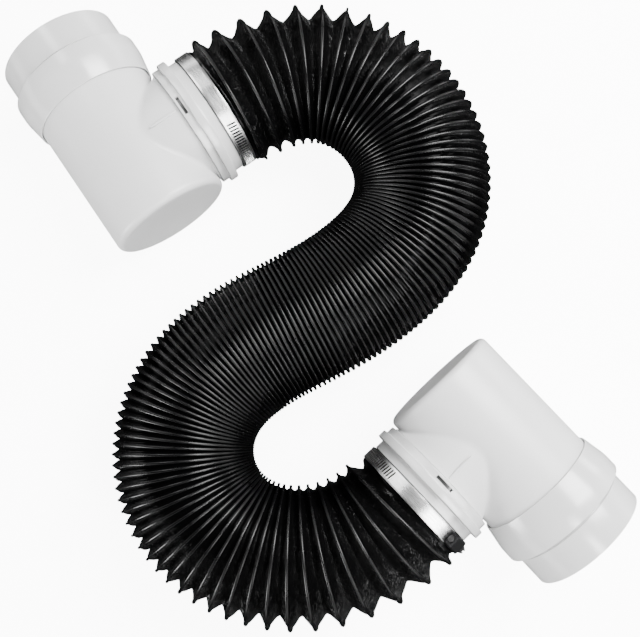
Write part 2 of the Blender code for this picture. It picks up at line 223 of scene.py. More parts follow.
class ClampSizes(bpy.types.PropertyGroup):
    """Sizes and colours of the worm-drive clamps."""
    thick: FloatProperty(name="Band thickness", default=0.0009, unit="LENGTH",
                         description="Thickness of the steel band")
    slot_pitch: FloatProperty(name="Slot pitch", default=0.0029, unit="LENGTH",
                              description="Distance from one worm slot to the next")
    slot_wide: FloatProperty(name="Slot width", default=0.0014, unit="LENGTH",
                             description="Width of a worm slot round the band")
    slot_long: FloatProperty(name="Slot length", default=0.0078, unit="LENGTH",
                             description="Length of a worm slot across the band")
    slot_deep: FloatProperty(name="Slot depth", default=0.0006, unit="LENGTH",
                             description="How far a slot is sunk into the band")
    slant: FloatProperty(name="Slot slant", default=0.12, subtype="ANGLE",
                         description="How far the slots lean from straight across the band")
    steel_colour: FloatVectorProperty(name="Steel colour", default=(0.86, 0.86, 0.86), subtype="COLOR",
                                      description="Colour of the bright steel band")
    dark_colour: FloatVectorProperty(name="Housing colour", default=(0.030, 0.030, 0.031), subtype="COLOR",
                                     description="Colour of the dark plated housing")


class StageSizes(bpy.types.PropertyGroup):
    """Camera, floor and lights."""
    lens: FloatProperty(name="Lens", default=47.96, description="Focal length in millimetres")
    distance: FloatProperty(name="Camera distance", default=0.7327, unit="LENGTH",
                            description="From the middle of the hose to the camera")
    floor_colour: FloatVectorProperty(name="Floor colour", default=(0.94, 0.94, 0.94), subtype="COLOR",
                                      description="Colour of the plain floor")
    key_power: FloatProperty(name="Key light", default=68.0, description="Power of the main light in watts")
    fill_power: FloatProperty(name="Side lights", default=9.0,
                              description="Power of the light on either side in watts")
    strip_power: FloatProperty(name="Strip lights", default=24.0,
                               description="Power of the long narrow light on either end in watts")
    floor_glow: FloatProperty(name="Floor glow", default=9.0,
                              description="Light that the floor gives off itself, to keep it pale")
    floor_cast: FloatProperty(name="Floor cast", default=0.06,
                              description="Share of the floor's own light that falls on the hose")
    room_glow: FloatProperty(name="Room glow", default=2.8,
                             description="Light from the room's pale band low round the floor")


def spline(knots, per_span=40):
    """Centripetal Catmull-Rom curve through the knots, as in the part's source."""
    padded = np.vstack([2 * knots[0] - knots[1], knots, 2 * knots[-1] - knots[-2]])
    fine = []
    for i in range(1, len(padded) - 2):
        p0, p1, p2, p3 = padded[i - 1:i + 3]
        t1 = np.linalg.norm(p1 - p0) ** 0.5
        t2 = t1 + np.linalg.norm(p2 - p1) ** 0.5
        t3 = t2 + np.linalg.norm(p3 - p2) ** 0.5
        t = np.linspace(t1, t2, per_span, endpoint=False)[:, None]
        a1 = (t1 - t) / t1 * p0 + t / t1 * p1
        a2 = (t2 - t) / (t2 - t1) * p1 + (t - t1) / (t2 - t1) * p2
        a3 = (t3 - t) / (t3 - t2) * p2 + (t - t2) / (t3 - t2) * p3
        b1 = (t2 - t) / t2 * a1 + t / t2 * a2
        b2 = (t3 - t) / (t3 - t1) * a2 + (t - t1) / (t3 - t1) * a3
        fine.append((t2 - t) / (t2 - t1) * b1 + (t - t1) / (t2 - t1) * b2)
    return np.vstack(fine + [knots[-1:]])


def resample(line, count):
    """The same line with evenly spaced points, and how far along each of them is."""
    step = np.r_[0.0, np.cumsum(np.linalg.norm(np.diff(line, axis=0), axis=1))]
    grid = np.linspace(0.0, step[-1], count)
    return grid, np.c_[np.interp(grid, step, line[:, 0]), np.interp(grid, step, line[:, 1])]


def rounded_off(line, reach):
    """The line averaged over a few points each way, with its ends kept in place."""
    kernel = np.hanning(2 * reach + 1)
    padded = np.vstack([2 * line[0] - line[reach:0:-1], line, 2 * line[-1] - line[-2:-reach - 2:-1]])
    return np.c_[np.convolve(padded[:, 0], kernel / kernel.sum(), "valid"),
                 np.convolve(padded[:, 1], kernel / kernel.sum(), "valid")]


def centreline():
    """The hose's middle: straight over each sleeve, then blending into the curve through ROUTE."""
    places = list(ELBOWS.values())
    ways = [np.array((math.cos(math.radians(e[2])), math.sin(math.radians(e[2])))) for e in places]
    start, end = [np.array(e[:2]) + way * HOSE_START for e, way in zip(places, ways)]
    knots = np.array([start, start + ways[0] * CUFF_LONG] + ROUTE + [end + ways[1] * CUFF_LONG, end])
    grid, line = resample(spline(knots), ROUTE_POINTS)
    line = rounded_off(line, ROUTE_REACH)
    for corner, way, along in ((start, ways[0], grid), (end, ways[1], grid[-1] - grid)):
        free = np.clip((along - CUFF_LONG) / CUFF_LONG, 0.0, 1.0)
        free = (free * free * (3.0 - 2.0 * free))[:, None]
        line = line * free + (corner + along[:, None] * way) * (1.0 - free)
    grid, line = resample(line, ROUTE_POINTS)
    return grid, line + np.array(SHIFT)


def crest_places(total):
    """Where the crests lie along the hose: wide apart at both ends, packed in the middle."""
    grid = np.linspace(FIRST_CREST, total - LAST_CREST, ROUTE_POINTS)
    wide = (1.0 / (1.0 + (grid / OPEN_A) ** OPEN_SHARP)
            + 1.0 / (1.0 + ((total - grid) / OPEN_B) ** OPEN_SHARP))
    density = 1.0 / (PITCH_MIDDLE + (PITCH_END - PITCH_MIDDLE) * wide)
    count = np.r_[0.0, np.cumsum((density[1:] + density[:-1]) / 2 * np.diff(grid))]
    return np.interp(np.linspace(0.0, count[-1], CRESTS), count, grid)


class Duct:
    """The hose's route with its crests: places on it, its frames and its pleat spacing."""

    def __init__(self):
        self.grid, self.line = centreline()
        self.total = self.grid[-1]
        way = np.gradient(self.line, self.grid, axis=0)
        self.way = way / np.linalg.norm(way, axis=1)[:, None]
        heading = np.unwrap(np.arctan2(self.way[:, 1], self.way[:, 0]))
        bend = np.gradient(heading, self.grid)
        kernel = np.hanning(2 * ROUTE_REACH + 1)
        self.bend = np.convolve(np.pad(bend, ROUTE_REACH, "edge"), kernel / kernel.sum(), "valid")
        crests = crest_places(self.total)
        first, last = crests[1] - crests[0], crests[-1] - crests[-2]
        self.crests = np.r_[crests[0] - first, crests[0] - END_PLEAT * first, crests, crests[-1] + last,
                            crests[-1] + 2 * last]
        self.numbers = np.arange(len(self.crests)) - 2.0
        self.pitch = np.gradient(self.crests)

    def along(self, number):
        """Distance along the hose of a crest number; a fraction lies between two crests."""
        return np.interp(number, self.numbers, self.crests)

    def spacing(self, s):
        """Distance from crest to crest along the middle, that far along the hose."""
        return np.interp(s, self.crests, self.pitch)

    def room(self, s, angle, radius):
        """Spacing at that angle and radius: less on the inside of a bend, more on its outside."""
        bend = np.interp(s, self.grid, self.bend)
        return np.clip(1.0 - bend * radius * np.cos(angle), *ROOM_SHARES) * self.spacing(s)

    def point(self, s, angle, radius, lean=0.0):
        """Axis point plus radius times the direction at that angle, leaning a little along the hose."""
        x, y, wx, wy = (np.interp(s, self.grid, column) for column in (*self.line.T, *self.way.T))
        out = radius * np.cos(angle)
        return np.stack([x - out * wy + lean * wx, y + out * wx + lean * wy,
                         AXIS_Z + radius * np.sin(angle)], axis=-1)

    def swell(self, s):
        """0 on the cuffs, rising smoothly to 1 where the pleats have their full size."""
        free = np.clip((np.minimum(s, self.total - s) - CUFF_LONG) / SWELL_LONG, 0.0, 1.0)
        return free * free * (3.0 - 2.0 * free)


def smooth_noise(x, y, turn, seed):
    """Random heights from -1 to 1 on a square lattice, joined by smoothstep; y repeats every turn cells."""
    table = np.random.default_rng(seed).uniform(-1.0, 1.0, (512, turn))
    i, j = np.floor(x).astype(int), np.floor(y).astype(int)
    u, v = x - i, y - j
    u, v = u * u * (3.0 - 2.0 * u), v * v * (3.0 - 2.0 * v)
    i, j, up, right = i % 512, j % turn, (i + 1) % 512, (j + 1) % turn
    return ((table[i, j] * (1 - u) + table[up, j] * u) * (1 - v)
            + (table[i, right] * (1 - u) + table[up, right] * u) * v)


def crumpled(layers, s, turn):
    """Sum of layers of smooth noise over the distance along the hose and the turn round it."""
    return sum(share * smooth_noise(s / cell + start, turn * around, around, seed)
               for cell, start, around, seed, share in layers)


def rounded(corners, steps=5):
    """Profile through (along, radius, fillet) corners, each replaced by a quadratic curve of that reach."""
    data = np.array(corners)
    spot = data[:, :2]
    back, ahead = np.roll(spot, 1, axis=0) - spot, np.roll(spot, -1, axis=0) - spot
    long_back, long_ahead = np.linalg.norm(back, axis=1), np.linalg.norm(ahead, axis=1)
    reach = np.minimum(data[:, 2], 0.45 * np.minimum(long_back, long_ahead))[:, None]
    start, end = spot + back / long_back[:, None] * reach, spot + ahead / long_ahead[:, None] * reach
    t = np.linspace(0.0, 1.0, steps)[None, :, None]
    curve = (1 - t) ** 2 * start[:, None] + 2 * t * (1 - t) * spot[:, None] + t ** 2 * end[:, None]
    return curve.reshape(-1, 2)


def turned(profile, angles, axis):
    """Each profile point (along, radius) carried round the axis: along, radius cos, radius sin."""
    along = np.repeat(profile[:, :1], len(angles), axis=1)
    across, up = profile[:, 1:2] * np.cos(angles), profile[:, 1:2] * np.sin(angles)
    order = (along, across, up) if axis == "X" else (across, along, up)
    return np.stack(order, axis=-1)


def run_length(profile):
    """How far along a profile each of its points is."""
    return np.r_[0.0, np.cumsum(np.linalg.norm(np.diff(profile, axis=0), axis=1))]


def swept(profile, angles, per_radian):
    """UV of a profile carried round: how far along it, and how far round at a length per radian."""
    return np.stack(np.broadcast_arrays(run_length(profile)[:, None], per_radian * angles), -1)


def slot_cuts(middle, half, radius):
    """Profile points close before and behind each end of a slot, and one in its middle."""
    ways = (half + STEP_SOFT, half - STEP_SOFT, 0.0, STEP_SOFT - half, -STEP_SOFT - half)
    return [(middle + way, radius, 0.0) for way in ways]


def placed(points, tag):
    """Turn an elbow's own points about Z and move them to its place."""
    x, y, way = ELBOWS[tag]
    c, s = math.cos(math.radians(way)), math.sin(math.radians(way))
    turn = np.array([[c, s, 0.0], [-s, c, 0.0], [0.0, 0.0, 1.0]])
    return points @ turn + np.array((x + SHIFT[0], y + SHIFT[1], AXIS_Z))


def surface(name, patches, mat, body, slot, sharp=32.0, closed=True, **values):
    """Join grids of points into one welded mesh object that rides on a body.

    A patch is points[rows, columns, 3] and uv[rows, columns, 2], or None. values are attributes with
    one number a point, in the order of the patches.
    """
    spots, quads, maps, first = [], [], [], 0
    for points, uv in patches:
        rows, columns = points.shape[:2]
        index = np.arange(rows * columns).reshape(rows, columns) + first
        corners = [index[:-1, :-1], index[:-1, 1:], index[1:, 1:], index[1:, :-1]]
        quads.append(np.stack(corners, -1).reshape(-1, 4))
        spots.append(points.reshape(-1, 3))
        maps.append((np.zeros((rows, columns, 2)) if uv is None else uv).reshape(-1, 2))
        first += rows * columns
    spots, quads, maps = np.vstack(spots), np.vstack(quads), np.vstack(maps)
    mesh = bpy.data.meshes.new(name)
    mesh.vertices.add(len(spots))
    mesh.vertices.foreach_set("co", spots.ravel())
    mesh.loops.add(quads.size)
    mesh.loops.foreach_set("vertex_index", quads.ravel())
    mesh.polygons.add(len(quads))
    mesh.polygons.foreach_set("loop_start", np.arange(0, quads.size, 4))
    mesh.update(calc_edges=True)
    layer = mesh.uv_layers.new(name="UVMap")
    layer.data.foreach_set("uv", maps[quads.ravel()].ravel())
    for key, numbers in values.items():
        mesh.attributes.new(key, "FLOAT", "POINT").data.foreach_set("value", numbers.ravel())
    bm = bmesh.new()
    bm.from_mesh(mesh)
    bmesh.ops.remove_doubles(bm, verts=bm.verts, dist=WELD)
    if closed:
        bmesh.ops.recalc_face_normals(bm, faces=bm.faces)
    bm.to_mesh(mesh)
    bm.free()
    mesh.shade_smooth()
    mesh.set_sharp_from_angle(angle=math.radians(sharp))
    obj = bpy.data.objects.new(name, mesh)
    bpy.context.scene.collection.objects.link(obj)
    mesh.materials.append(mat)
    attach(obj, body)
    return obj


def node(tree, kind, inputs=(), **settings):
    """A shader node with its settings, and with a link or a value at each named input."""
    made = tree.nodes.new(kind)
    for key, value in settings.items():
        setattr(made, key, value)
    for key, value in dict(inputs).items():
        if isinstance(value, bpy.types.NodeSocket):
            tree.links.new(value, made.inputs[key])
        else:
            made.inputs[key].default_value = value
    return made


def math_node(tree, operation, a, b=0.0):
    """One sum, product or other operation on two values or sockets."""
    return node(tree, "ShaderNodeMath", {0: a, 1: b}, operation=operation).outputs[0]


def spread(tree, value, low, high, to_low=0.0, to_high=1.0):
    """Map a value's range to another, with a smooth step between."""
    return node(tree, "ShaderNodeMapRange", {"Value": value, "From Min": low, "From Max": high,
                                             "To Min": to_low, "To Max": to_high},
                interpolation_type="SMOOTHSTEP").outputs["Result"]


def shaded(colour, share):
    """The colour with each channel times a share."""
    return tuple(channel * share for channel in colour)


def tint(tree, factor, first, second, **settings):
    """The first colour where the factor is 0 and the second, or its blend, where it is 1."""
    mix = node(tree, "ShaderNodeMix", data_type="RGBA", **settings)
    for key, value in ((0, factor), (6, first), (7, second)):
        if isinstance(value, bpy.types.NodeSocket):
            tree.links.new(value, mix.inputs[key])
        else:
            mix.inputs[key].default_value = value if key == 0 else (*value, 1.0)
    return mix.outputs[2]


def new_group(name, inputs, outputs):
    """A shader node group with named sockets: its tree, its inner inputs and its inner outputs."""
    tree = bpy.data.node_groups.new(name, "ShaderNodeTree")
    for label, kind, default in inputs:
        made = tree.interface.new_socket(name=label, in_out="INPUT", socket_type=kind)
        if default is not None:
            made.default_value = default
    for label, kind in outputs:
        tree.interface.new_socket(name=label, in_out="OUTPUT", socket_type=kind)
    return tree, tree.nodes.new("NodeGroupInput").outputs, tree.nodes.new("NodeGroupOutput").inputs


def moulded_group():
    """Grain of a moulded or rolled surface: fine height, broad cloudy tone, and small scuffs."""
    if "surface_grain" in bpy.data.node_groups:
        return bpy.data.node_groups["surface_grain"]
    tree, given, out = new_group(
        "surface_grain",
        (("Vector", "NodeSocketVector", None), ("Grain", "NodeSocketFloat", 900.0),
         ("Cloud", "NodeSocketFloat", 18.0), ("Scuff", "NodeSocketFloat", 60.0)),
        (("Height", "NodeSocketFloat"), ("Cloud", "NodeSocketFloat"), ("Scuff", "NodeSocketFloat")))
    place = given["Vector"]
    fine = node(tree, "ShaderNodeTexNoise", {"Vector": place, "Scale": given["Grain"], "Detail": 3.0})
    broad = node(tree, "ShaderNodeTexNoise", {"Vector": place, "Scale": given["Cloud"], "Detail": 4.0,
                                              "Roughness": 0.6})
    streak = node(tree, "ShaderNodeTexNoise", {"Vector": place, "Scale": given["Scuff"], "Detail": 6.0,
                                               "Roughness": 0.75, "Distortion": 1.2})
    tree.links.new(fine.outputs["Fac"], out["Height"])
    tree.links.new(spread(tree, broad.outputs["Fac"], 0.35, 0.65), out["Cloud"])
    tree.links.new(spread(tree, streak.outputs["Fac"], 0.60, 0.74), out["Scuff"])
    return tree


def scaled(tree, vector, scale):
    """Coordinates stretched by a scale along each axis."""
    return node(tree, "ShaderNodeMapping", {"Vector": vector, "Scale": scale}).outputs[0]


def grain(tree, vector, size, cloud, scuff):
    """The shared grain group placed in a material with its own scales."""
    made = node(tree, "ShaderNodeGroup", node_tree=moulded_group())
    tree.links.new(vector, made.inputs["Vector"])
    for key, value in (("Grain", size), ("Cloud", cloud), ("Scuff", scuff)):
        made.inputs[key].default_value = value
    return made.outputs


def material(name):
    """A node material, its tree, its shader and its texture coordinates."""
    mat = bpy.data.materials.new(name)
    mat.use_nodes = True
    tree = mat.node_tree
    return mat, tree, tree.nodes["Principled BSDF"].inputs, node(tree, "ShaderNodeTexCoord").outputs


def bump(tree, shader, height, strength, distance):
    """Bend the shader's normals by a height."""
    made = node(tree, "ShaderNodeBump", {"Height": height, "Strength": strength, "Distance": distance})
    tree.links.new(made.outputs["Normal"], shader["Normal"])


def film_material(colour):
    """Glossy black film: creases where it is slack, a faint haze of dust, and a fine calendered grain."""
    mat, tree, shader, coords = material("black_film")
    shader["Specular IOR Level"].default_value = 0.32
    slack = node(tree, "ShaderNodeAttribute", attribute_name="slack").outputs["Fac"]
    detail = grain(tree, coords["Object"], size=700.0, cloud=14.0, scuff=90.0)
    across = scaled(tree, coords["UV"], (90.0, 760.0, 1.0))
    ridges = node(tree, "ShaderNodeTexNoise", {"Vector": across, "Scale": 1.0, "Detail": 2.0,
                                               "Roughness": 0.5, "Distortion": 0.8}).outputs["Fac"]
    sheet = scaled(tree, coords["UV"], (330.0, 560.0, 1.0))
    facets = node(tree, "ShaderNodeTexVoronoi", {"Vector": sheet, "Scale": 1.0, "Randomness": 1.0},
                  feature="F1").outputs["Distance"]
    relief = math_node(tree, "ADD", ridges, math_node(tree, "MULTIPLY", facets, 0.5))
    height = math_node(tree, "ADD", math_node(tree, "MULTIPLY", relief, slack),
                       math_node(tree, "MULTIPLY", detail["Height"], 0.02))
    bump(tree, shader, height, strength=1.0, distance=0.0024)
    dusty = tuple(channel * 2.4 + 0.002 for channel in colour)
    tree.links.new(tint(tree, math_node(tree, "MULTIPLY", detail["Scuff"], 0.5), tuple(colour), dusty),
                   shader["Base Color"])
    tree.links.new(spread(tree, detail["Cloud"], 0.0, 1.0, 0.07, 0.13), shader["Roughness"])
    return mat


def wire_material(colour):
    """The film drawn tight over the wire: smoother than the film between, rubbed paler in places."""
    mat, tree, shader, coords = material("film_over_wire")
    shader["Specular IOR Level"].default_value = 0.35
    detail = grain(tree, coords["Object"], size=900.0, cloud=30.0, scuff=160.0)
    worn = tuple(channel * 3.0 + 0.004 for channel in colour)
    tree.links.new(tint(tree, detail["Scuff"], shaded(colour, 1.2), worn), shader["Base Color"])
    tree.links.new(spread(tree, detail["Cloud"], 0.0, 1.0, 0.24, 0.32), shader["Roughness"])
    bump(tree, shader, detail["Height"], strength=0.25, distance=0.0002)
    return mat


def plastic_material(name, colour, roughness, gloss):
    """White moulded plastic: soft sheen, fine texture, cloudy tone, handling marks, and painted shade, with
    some dirt in the groove, where an attribute marks the lock slots and the collar's groove.
    """
    mat, tree, shader, coords = material(name)
    shader["Specular IOR Level"].default_value = gloss
    detail = grain(tree, coords["Object"], size=1300.0, cloud=9.0, scuff=45.0)
    toned = tint(tree, detail["Cloud"], tuple(colour), shaded(colour, 0.955))
    handled = math_node(tree, "MULTIPLY", detail["Scuff"], 0.22)
    marked = tint(tree, handled, tuple(colour), shaded(colour, 0.86))
    both = tint(tree, 1.0, toned, marked, blend_type="DARKEN")
    deep = node(tree, "ShaderNodeAttribute", attribute_name="deep").outputs["Fac"]
    # Painted shade: the lock slots and the pipe collar's groove are darkened towards dark grey, the groove
    # partly as dirt.
    tree.links.new(tint(tree, deep, both, (0.07, 0.07, 0.07)), shader["Base Color"])
    sheen = spread(tree, detail["Cloud"], 0.0, 1.0, roughness - 0.03, roughness + 0.05)
    tree.links.new(sheen, shader["Roughness"])
    bump(tree, shader, detail["Height"], strength=0.16, distance=0.00025)
    return mat


def steel_material(name, colour, roughness, vector="UV"):
    """Rolled steel: fine lines along the band, cloudy shine, and dark slots where an attribute says so."""
    mat, tree, shader, coords = material(name)
    shader["Metallic"].default_value = 1.0
    detail = grain(tree, coords["Object"], size=1500.0, cloud=40.0, scuff=120.0)
    lines = scaled(tree, coords[vector], (5200.0, 60.0, 900.0))
    rolled = node(tree, "ShaderNodeTexNoise", {"Vector": lines, "Scale": 1.0, "Detail": 3.0}).outputs["Fac"]
    sunk = node(tree, "ShaderNodeAttribute", attribute_name="sunk").outputs["Fac"]
    plain = tint(tree, detail["Cloud"], tuple(colour), shaded(colour, 0.86))
    tree.links.new(tint(tree, sunk, plain, (0.003, 0.003, 0.003)), shader["Base Color"])
    sheen = math_node(tree, "ADD", spread(tree, rolled, 0.3, 0.7, roughness - 0.05, roughness + 0.07),
                      math_node(tree, "MULTIPLY", detail["Scuff"], 0.12))
    tree.links.new(sheen, shader["Roughness"])
    height = math_node(tree, "ADD", rolled, math_node(tree, "MULTIPLY", detail["Height"], 0.4))
    bump(tree, shader, height, strength=0.22, distance=0.0001)
    return mat


class VENT_OT_hose(bpy.types.Operator):
    """Make the pleated film and the spring wire that its crests run over"""
    bl_idname = "vent.hose"
    bl_label = "Pleated hose"

    def execute(self, context):
        sizes = context.scene.vent_hose
        duct = Duct()
        film = self.film(duct, sizes)
        wire = self.wire(duct, sizes)
        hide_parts("duct_hose")
        return {"FINISHED"}

    def film(self, duct, sizes):
        """Radius = crest less depth times a fall that runs with f, the way from crest to crest.

        Open pleats: fall = 1 - |1 - 2f| to a power, so the film hangs hollow from wire to wire. Packed
        pleats on the outside of a bend: fall = (1 - |1 - 2f|) squared, so it bulges in round folds. The
        two are blended by the room between the crests. Depth grows from the least to the open depth as a
        power of that room. Rows follow the crests round: distance along = crest number + angle / full
        turn. Dents of smooth noise, largest half way down the slack pleats, crumple the film.
        """
        angles = np.linspace(0.0, 2 * math.pi, sizes.columns + 1)
        number = np.arange(-2 * sizes.rows, (CRESTS + 1) * sizes.rows + 1)[:, None] / sizes.rows
        s = duct.along(number + (angles - math.pi / 2) / (2 * math.pi))
        s = np.clip(s, CUFF_LONG, duct.total - CUFF_LONG)
        rise = np.abs(1.0 - 2.0 * (number % 1.0))
        swell = duct.swell(s)
        crest = sizes.crest_radius - sizes.wire_radius
        room = duct.room(s, angles, crest)
        share = np.minimum(room / sizes.deep_room, 1.0) ** DEPTH_POWER
        depth = sizes.least_depth + (sizes.open_depth - sizes.least_depth) * share
        outer = np.clip((room / duct.spacing(s) - 1.0) / OUTER_SHARE, 0.0, 1.0)
        folded = np.clip((sizes.open_room - room) / sizes.fold_range, 0.0, 1.0) * outer
        down = (1.0 - rise ** HOLLOW_POWER) * (1.0 - folded) + (1.0 - rise) ** 2 * folded
        slack = np.clip((room - SLACK_START) / SLACK_RANGE, 0.0, 1.0)
        slack = slack * (SLACK_INNER + (1.0 - SLACK_INNER) * outer) * swell
        turn = angles / (2 * math.pi)
        dent, shove = crumpled(DENTS, s, turn), crumpled(SHOVES, s, turn)
        flank = np.sin(math.pi * np.clip(down, 0.0, 1.0)) ** FLANK_POWER
        radius = crest - depth * down + sizes.crumple * dent * flank * slack
        radius = CUFF_R + (radius - CUFF_R) * swell
        lean = SHOVE_SHARE * sizes.crumple * shove * flank * slack
        points = duct.point(s, angles + 0.0 * s, radius, lean)
        near = self.cuff(duct, angles, 0.0, CUFF_LONG)
        far = self.cuff(duct, angles, duct.total, -CUFF_LONG)
        patches = [(points, np.stack([s, FILM_UV_PER_RADIAN * angles + 0.0 * s], -1)),
                   (near[0][::-1], near[1][::-1]), far]
        taut = np.zeros(near[0].shape[:2])
        return surface("hose_film", patches, film_material(sizes.film_colour), "hose", "duct_foil",
                       sharp=50.0, closed=False,
                       slack=np.concatenate([slack.ravel(), taut.ravel(), taut.ravel()]))

    def cuff(self, duct, angles, end, reach):
        """The smooth end of the film: a cylinder over the neck, tucked in to the sleeve at its edge."""
        along = np.array([end + reach, end + reach / 2, end, end])[:, None] + 0.0 * angles
        size = np.array([CUFF_R, CUFF_R, CUFF_R, SLEEVE_R + GAP])[:, None] + 0.0 * angles
        angles = angles + 0.0 * along
        return duct.point(along, angles, size), np.stack([along, FILM_UV_PER_RADIAN * angles], -1)

    def wire(self, duct, sizes):
        """A tube of a few sides whose middle runs along the crests' spiral, squeezed where they crowd."""
        number = np.arange(WIRE_START, WIRE_END, 1.0 / WIRE_STEPS)
        angle = 2 * math.pi * number + math.pi / 2
        s = duct.along(number)
        keep = (s > CUFF_LONG + WIRE_CLEAR) & (s < duct.total - CUFF_LONG - WIRE_CLEAR)
        s, angle = s[keep], angle[keep]
        room = duct.room(s, angle, sizes.crest_radius)
        fine = sizes.wire_radius * np.clip(duct.swell(s) * WIRE_GROWTH, WIRE_THINNEST, 1.0)
        middle = CUFF_R + (sizes.crest_radius - sizes.wire_radius - CUFF_R) * duct.swell(s)
        wide = np.minimum(fine, WIRE_SQUEEZE * room)
        sides = np.linspace(0.0, 2 * math.pi, WIRE_SIDES + 1)
        out = middle[:, None] + fine[:, None] * np.cos(sides)
        lean = wide[:, None] * np.sin(sides)
        points = duct.point(s[:, None] + 0.0 * sides, angle[:, None] + 0.0 * sides, out, lean)
        caps = [np.repeat(points[k][None].mean(axis=1, keepdims=True), len(sides), axis=1) for k in (0, -1)]
        points = np.vstack([caps[0], points, caps[1]])
        uv = np.stack(np.broadcast_arrays(np.linspace(0.0, 40.0, len(points))[:, None], 0.001 * sides), -1)
        return surface("spring_wire", [(points, uv)], wire_material(sizes.film_colour), "hose", "duct_foil",
                       sharp=70.0)


class VENT_OT_elbows(bpy.types.Operator):
    """Make the two elbows as thin moulded shells with a soft saddle at the side port"""
    bl_idname = "vent.elbows"
    bl_label = "Elbows"

    def execute(self, context):
        sizes = context.scene.vent_fittings
        mat = plastic_material("white_elbow", sizes.colour, roughness=0.34, gloss=0.6)
        for tag in ELBOWS:
            patches = [(placed(points, tag), None) for points in self.shell(sizes)]
            obj = surface("elbow_shell_" + tag, patches, mat, "elbow_%s_turning" % tag, "white_plastic")
            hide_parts("elbow_" + tag)
        return {"FINISHED"}

    def shell(self, sizes):
        """Inner and outer walls on cylinders, opened out from a circle round the port to a rectangle.

        A point of the port side is a share t of the way from the port's foot, where the angle on the
        cylinder is asin(z / radius), to the rectangle's border. The saddle is a quadratic curve from
        the port's wall by way of the foot to the cylinder.
        """
        low, high = -BLIND_LONG + EDGE, BODY_LONG - RIM_LONG
        quarter, side, across, rings = math.pi / 2, 56, 64, 13
        up, over = np.linspace(low, high, side + 1), np.linspace(-quarter, quarter, across + 1)
        edge_angle = np.r_[np.full(side, -quarter), over[:-1], np.full(side, quarter), over[:0:-1], -quarter]
        edge_y = np.r_[up[:-1], np.full(across, high), up[:0:-1], np.full(across, low), low]
        port = np.arctan2(BODY_R * np.sin(edge_angle), edge_y)

        def on_wall(radius, foot_radius, share):
            y, z = foot_radius * np.cos(port), foot_radius * np.sin(port)
            foot = np.arcsin(z / radius)
            angle, along = foot + share * (edge_angle - foot), y + share * (edge_y - y)
            return np.stack([radius * np.cos(angle), along, radius * np.sin(angle)], axis=-1)

        inner_r = BODY_R - WALL
        bore = SPIGOT_R - WALL
        inside = [on_wall(inner_r, bore, t) for t in np.linspace(1.0, 0.0, rings)]
        lip = rounded([(SPIGOT_END - LIP_LONG, bore, 0.0), (SPIGOT_END, bore, 0.0004),
                       (SPIGOT_END, SPIGOT_R, 0.0004), (BOSS_LONG, SPIGOT_R, 0.0002),
                       (BOSS_LONG, BOSS_R, 0.0007), (BOSS_LONG - RIM_LONG, BOSS_R, 0.0)], 4)[3:-3]
        round_port = np.c_[np.zeros(len(port)), np.cos(port), np.sin(port)]
        ring = [(x, 0.0, 0.0) + r * round_port for x, r in lip]
        foot = on_wall(BODY_R, sizes.port_foot, 0.0)
        long = np.linalg.norm(on_wall(BODY_R, sizes.port_foot, 1.0) - foot, axis=1)
        share = np.minimum(sizes.saddle / long, SADDLE_REACH_MOST)[:, None]
        rise = np.minimum(sizes.saddle, SADDLE_RISE_MOST * (BOSS_LONG - foot[:, 0]) - SADDLE_CLEAR)[:, None]
        lean = (BOSS_R - sizes.port_foot) * (rise / (BOSS_LONG - foot[:, :1]))
        top = foot + rise * np.array((1.0, 0.0, 0.0)) + lean * round_port
        end = on_wall(BODY_R, sizes.port_foot, share[:, 0])
        saddle = [(1 - q) ** 2 * top + 2 * q * (1 - q) * foot + q ** 2 * end
                  for q in np.linspace(0.0, 1.0, rings)]
        outside = [on_wall(BODY_R, sizes.port_foot, (share + (1 - share) * t)[:, 0])
                   for t in np.linspace(0.0, 1.0, rings)[1:]]
        patches = [np.array(inside + ring + saddle + outside)]

        back = np.linspace(quarter, 3 * quarter, across + 1)
        for radius in (BODY_R, inner_r):
            patches.append(np.stack(np.broadcast_arrays(radius * np.cos(back), up[:, None],
                                                        radius * np.sin(back)), -1))
        whole = np.linspace(-quarter, 3 * quarter, 2 * across + 1)
        curl = np.linspace(0.0, quarter, 8)
        for radius, end, edge in ((BODY_R, -BLIND_LONG, EDGE), (inner_r, -BLIND_LONG + WALL, EDGE - WALL)):
            flat = np.linspace(1.0, 0.0, 7)[1:] * (radius - edge)
            crown = CROWN_HIGH * (1.0 - (flat / (radius - edge)) ** 2)
            profile = np.r_[np.c_[low - edge * np.sin(curl), radius - edge * (1 - np.cos(curl))],
                            np.c_[end + crown, flat]]
            patches.append(turned(profile, whole, "Y"))
        rim = rounded([(high, BODY_R, 0.0), (BODY_LONG, BODY_R, 0.0008), (BODY_LONG, inner_r, 0.0005),
                       (high, inner_r, 0.0)], 4)[3:-3]
        patches.append(turned(rim, whole, "Y"))
        patches.append(self.rib(sizes))
        return patches

    def rib(self, sizes):
        """A rod half sunk in the port's top, its radius a power of half a sine wave along it."""
        t = np.linspace(0.0, 1.0, 24)[:, None]
        beta = np.linspace(0.0, 2 * math.pi, 17)
        taper = np.sin(math.pi * t) ** 0.35
        x = RIB_START + (RIB_END - RIB_START) * t + 0.0 * beta
        return np.stack([x, sizes.rib_high * taper * np.cos(beta),
                         BOSS_R - RIB_SUNK + sizes.rib_high * taper * np.sin(beta)], axis=-1)


